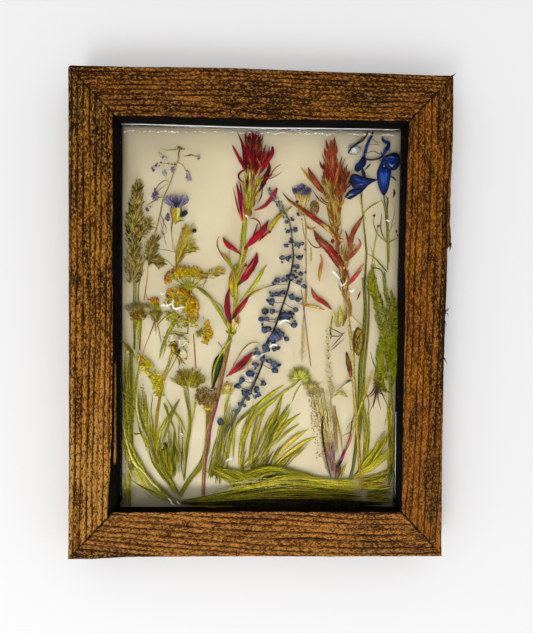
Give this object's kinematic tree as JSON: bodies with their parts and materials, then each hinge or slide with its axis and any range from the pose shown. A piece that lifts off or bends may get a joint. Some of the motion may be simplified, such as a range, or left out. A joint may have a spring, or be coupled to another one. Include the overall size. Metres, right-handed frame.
{
  "type": "pressed flower frame",
  "caption": "Shallow mitred softwood frame holding dried wildflowers and grasses under a layer of clear resin on a cream ground, to lie flat or lean on a shelf.",
  "frame": {"origin": "centre of the frame's back, on the surface it lies on", "axes": "+Z out of the face, +Y towards the top of the picture, +X to the right seen from the front"},
  "size_m": [0.266, 0.3416, 0.028],
  "materials": {
    "stained_wood": "stained, satin",
    "plywood": "bare",
    "cream_ground": "smooth opaque",
    "clear_resin": "clear gloss",
    "bright_steel": "bright"
  },
  "bodies": {
    "root": {"rail_bottom": "stained_wood", "rail_right": "stained_wood", "rail_top": "stained_wood", "rail_left": "stained_wood", "backing_board": "plywood", "cream_ground": "cream_ground", "clear_resin": "clear_resin", "board_brad_1": "bright_steel", "board_brad_2": "bright_steel", "board_brad_3": "bright_steel", "board_brad_4": "bright_steel", "board_brad_5": "bright_steel", "board_brad_6": "bright_steel", "board_brad_7": "bright_steel", "board_brad_8": "bright_steel", "board_brad_9": "bright_steel", "board_brad_10": "bright_steel", "board_brad_11": "bright_steel", "board_brad_12": "bright_steel", "board_brad_13": "bright_steel", "board_brad_14": "bright_steel"}
  },
  "joints": []
}
